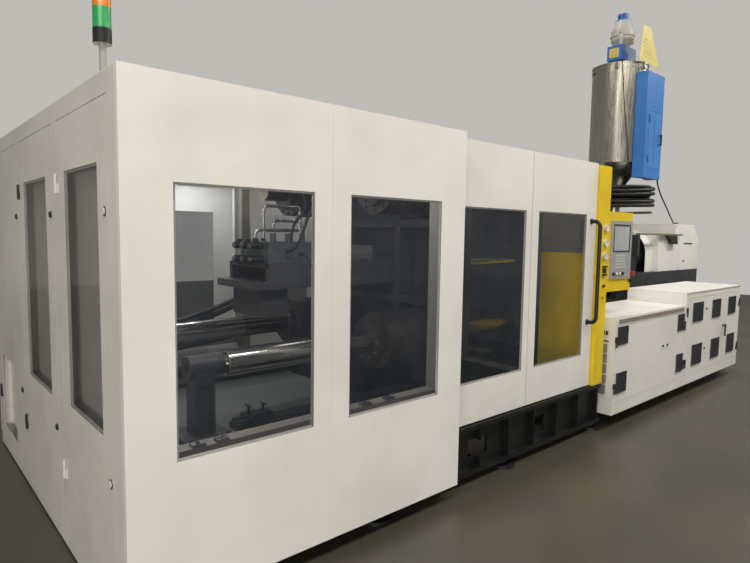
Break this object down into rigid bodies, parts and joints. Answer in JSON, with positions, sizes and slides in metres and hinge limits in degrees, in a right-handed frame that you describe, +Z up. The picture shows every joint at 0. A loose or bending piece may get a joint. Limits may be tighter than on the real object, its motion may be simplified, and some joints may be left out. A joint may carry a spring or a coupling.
{
  "type": "injection moulding machine",
  "caption": "Two-platen injection moulding machine: glazed clamp guard with sliding doors, operator post, cabinets, injection carriage and a hopper dryer.",
  "frame": {"origin": "on the floor, in the middle of the machine's length and width", "axes": "+X from the clamp end to the injection end, +Y from the operator side to the rear, +Z up"},
  "size_m": [8.76, 2.932, 4.45],
  "materials": {
    "black_frame": "matt black frame paint",
    "white_sheet": "semi-matt powder coat, warm off-white",
    "smoked_pane": "clear to smoked polycarbonate",
    "yellow_sheet": "semi-gloss yellow powder coat",
    "panel_grey": "satin grey",
    "screen_glass": "dark display glass",
    "bar_steel": "ground and hard chromed steel",
    "cast_grey": "dark grey machine paint on cast iron",
    "machined_steel": "machined steel",
    "black_plastic": "black moulded plastic",
    "light_plastic": "light moulded plastic",
    "red_plastic": "red moulded plastic",
    "lamp_lens": "coloured lamp lenses",
    "stainless": "brushed stainless sheet",
    "blue_sheet": "blue powder coat",
    "black_rubber": "black rubber"
  },
  "bodies": {
    "machine": {"clamp_bed": "black_frame", "injection_bed": "black_frame", "levelling_feet": "black_frame", "guard_frame": "white_sheet", "front_panels": "white_sheet", "rear_panels": "white_sheet", "guard_panes": "smoked_pane", "roof_panel": "white_sheet", "operator_post": "yellow_sheet", "operator_wing": "yellow_sheet", "hmi_housing": "panel_grey", "hmi_screen": "screen_glass", "gauges": "machined_steel", "tie_bars": "bar_steel", "bar_pedestals": "cast_grey", "fixed_platen": "cast_grey", "cylinder_barrels": "black_frame", "lower_cabinet": "white_sheet", "upper_cabinet": "white_sheet", "rear_cabinet": "white_sheet", "signal_pole": "black_plastic", "signal_lamps": "lamp_lens"},
    "front_door": {"front_door": "white_sheet", "front_door_panes": "smoked_pane", "front_door_handle": "black_plastic"},
    "rear_door": {"rear_door": "white_sheet", "rear_door_panes": "smoked_pane"},
    "end_door_front": {"end_door_front": "white_sheet", "end_pane_front": "smoked_pane"},
    "end_door_middle": {"end_door_middle": "white_sheet", "end_pane_middle": "smoked_pane"},
    "end_door_rear": {"end_door_rear": "white_sheet"},
    "moving_platen": {"moving_platen": "cast_grey", "locking_units": "cast_grey", "clamp_hydraulics": "machined_steel", "travel_rods": "bar_steel"},
    "ejector": {"ejector": "machined_steel"},
    "carriage": {"injection_carriage": "cast_grey", "barrel": "machined_steel", "barrel_cover": "white_sheet", "drive_housing": "white_sheet", "dryer_vessel": "stainless", "loader": "panel_grey", "guard_sheet": "yellow_sheet", "dryer_box": "blue_sheet", "hose_coil": "black_rubber", "power_cable": "black_rubber"},
    "screw_drive": {"screw_drive": "cast_grey"},
    "screw": {"screw": "machined_steel"},
    "dryer_box_door": {"dryer_box_door": "blue_sheet"},
    "lower_door_left": {"lower_door_left": "white_sheet"},
    "lower_door_right": {"lower_door_right": "white_sheet"},
    "upper_door_left": {"upper_door_left": "white_sheet"},
    "upper_door_right": {"upper_door_right": "white_sheet"},
    "emergency_stop": {"emergency_stop": "red_plastic"},
    "key_switch": {"key_switch": "black_plastic"},
    "push_button_1": {"push_button_1": "black_plastic"},
    "push_button_2": {"push_button_2": "light_plastic"},
    "push_button_3": {"push_button_3": "light_plastic"},
    "push_button_4": {"push_button_4": "black_plastic"}
  },
  "joints": [
    {"name": "front_door_slide", "type": "slide", "parent": "machine", "child": "front_door", "axis": [-1, 0, 0], "range_m": [0, 1.65]},
    {"name": "rear_door_slide", "type": "slide", "parent": "machine", "child": "rear_door", "axis": [-1, 0, 0], "range_m": [0, 1.65]},
    {"name": "end_door_front_hinge", "type": "hinge", "parent": "machine", "child": "end_door_front", "pos_m": [-4.373, -0.528, 1.1], "axis": [0, 0, 1], "range_deg": [-105, 0]},
    {"name": "end_door_middle_hinge", "type": "hinge", "parent": "machine", "child": "end_door_middle", "pos_m": [-4.373, 0.398, 1.1], "axis": [0, 0, 1], "range_deg": [-105, 0]},
    {"name": "end_door_rear_hinge", "type": "hinge", "parent": "machine", "child": "end_door_rear", "pos_m": [-4.373, 1.303, 1.1], "axis": [0, 0, 1], "range_deg": [-105, 0]},
    {"name": "moving_platen_slide", "type": "slide", "parent": "machine", "child": "moving_platen", "axis": [1, 0, 0], "range_m": [-0.7, 0.1]},
    {"name": "ejector_slide", "type": "slide", "parent": "moving_platen", "child": "ejector", "axis": [1, 0, 0], "range_m": [0, 0.15]},
    {"name": "carriage_slide", "type": "slide", "parent": "machine", "child": "carriage", "axis": [-1, 0, 0], "range_m": [0, 0.21]},
    {"name": "screw_drive_slide", "type": "slide", "parent": "carriage", "child": "screw_drive", "axis": [1, 0, 0], "range_m": [0, 0.3]},
    {"name": "screw_spin", "type": "hinge", "parent": "screw_drive", "child": "screw", "pos_m": [1.635, 0, 1.403], "axis": [1, 0, 0], "continuous": true},
    {"name": "dryer_box_door_hinge", "type": "hinge", "parent": "carriage", "child": "dryer_box_door", "pos_m": [2.283, -0.448, 2.85], "axis": [0, 0, 1], "range_deg": [-110, 0]},
    {"name": "lower_door_left_hinge", "type": "hinge", "parent": "machine", "child": "lower_door_left", "pos_m": [-0.425, -1.44, 0.5], "axis": [0, 0, 1], "range_deg": [-100, 0]},
    {"name": "lower_door_right_hinge", "type": "hinge", "parent": "machine", "child": "lower_door_right", "pos_m": [1.045, -1.44, 0.5], "axis": [0, 0, 1], "range_deg": [0, 90]},
    {"name": "upper_door_left_hinge", "type": "hinge", "parent": "machine", "child": "upper_door_left", "pos_m": [1.095, -1.44, 0.6], "axis": [0, 0, 1], "range_deg": [-90, 0]},
    {"name": "upper_door_right_hinge", "type": "hinge", "parent": "machine", "child": "upper_door_right", "pos_m": [2.688, -1.44, 0.6], "axis": [0, 0, 1], "range_deg": [0, 100]},
    {"name": "emergency_stop_push", "type": "slide", "parent": "machine", "child": "emergency_stop", "axis": [0, 1, 0], "range_m": [0, 0.006], "stiffness_N_per_m": 1500},
    {"name": "key_switch_turn", "type": "hinge", "parent": "machine", "child": "key_switch", "pos_m": [-0.085, -1.357, 1.243], "axis": [0, 1, 0], "range_deg": [0, 90]},
    {"name": "push_button_1_push", "type": "slide", "parent": "machine", "child": "push_button_1", "axis": [0, 1, 0], "range_m": [0, 0.004], "stiffness_N_per_m": 800},
    {"name": "push_button_2_push", "type": "slide", "parent": "machine", "child": "push_button_2", "axis": [0, 1, 0], "range_m": [0, 0.004], "stiffness_N_per_m": 800},
    {"name": "push_button_3_push", "type": "slide", "parent": "machine", "child": "push_button_3", "axis": [0, 1, 0], "range_m": [0, 0.004], "stiffness_N_per_m": 800},
    {"name": "push_button_4_push", "type": "slide", "parent": "machine", "child": "push_button_4", "axis": [0, 1, 0], "range_m": [0, 0.004], "stiffness_N_per_m": 800}
  ]
}
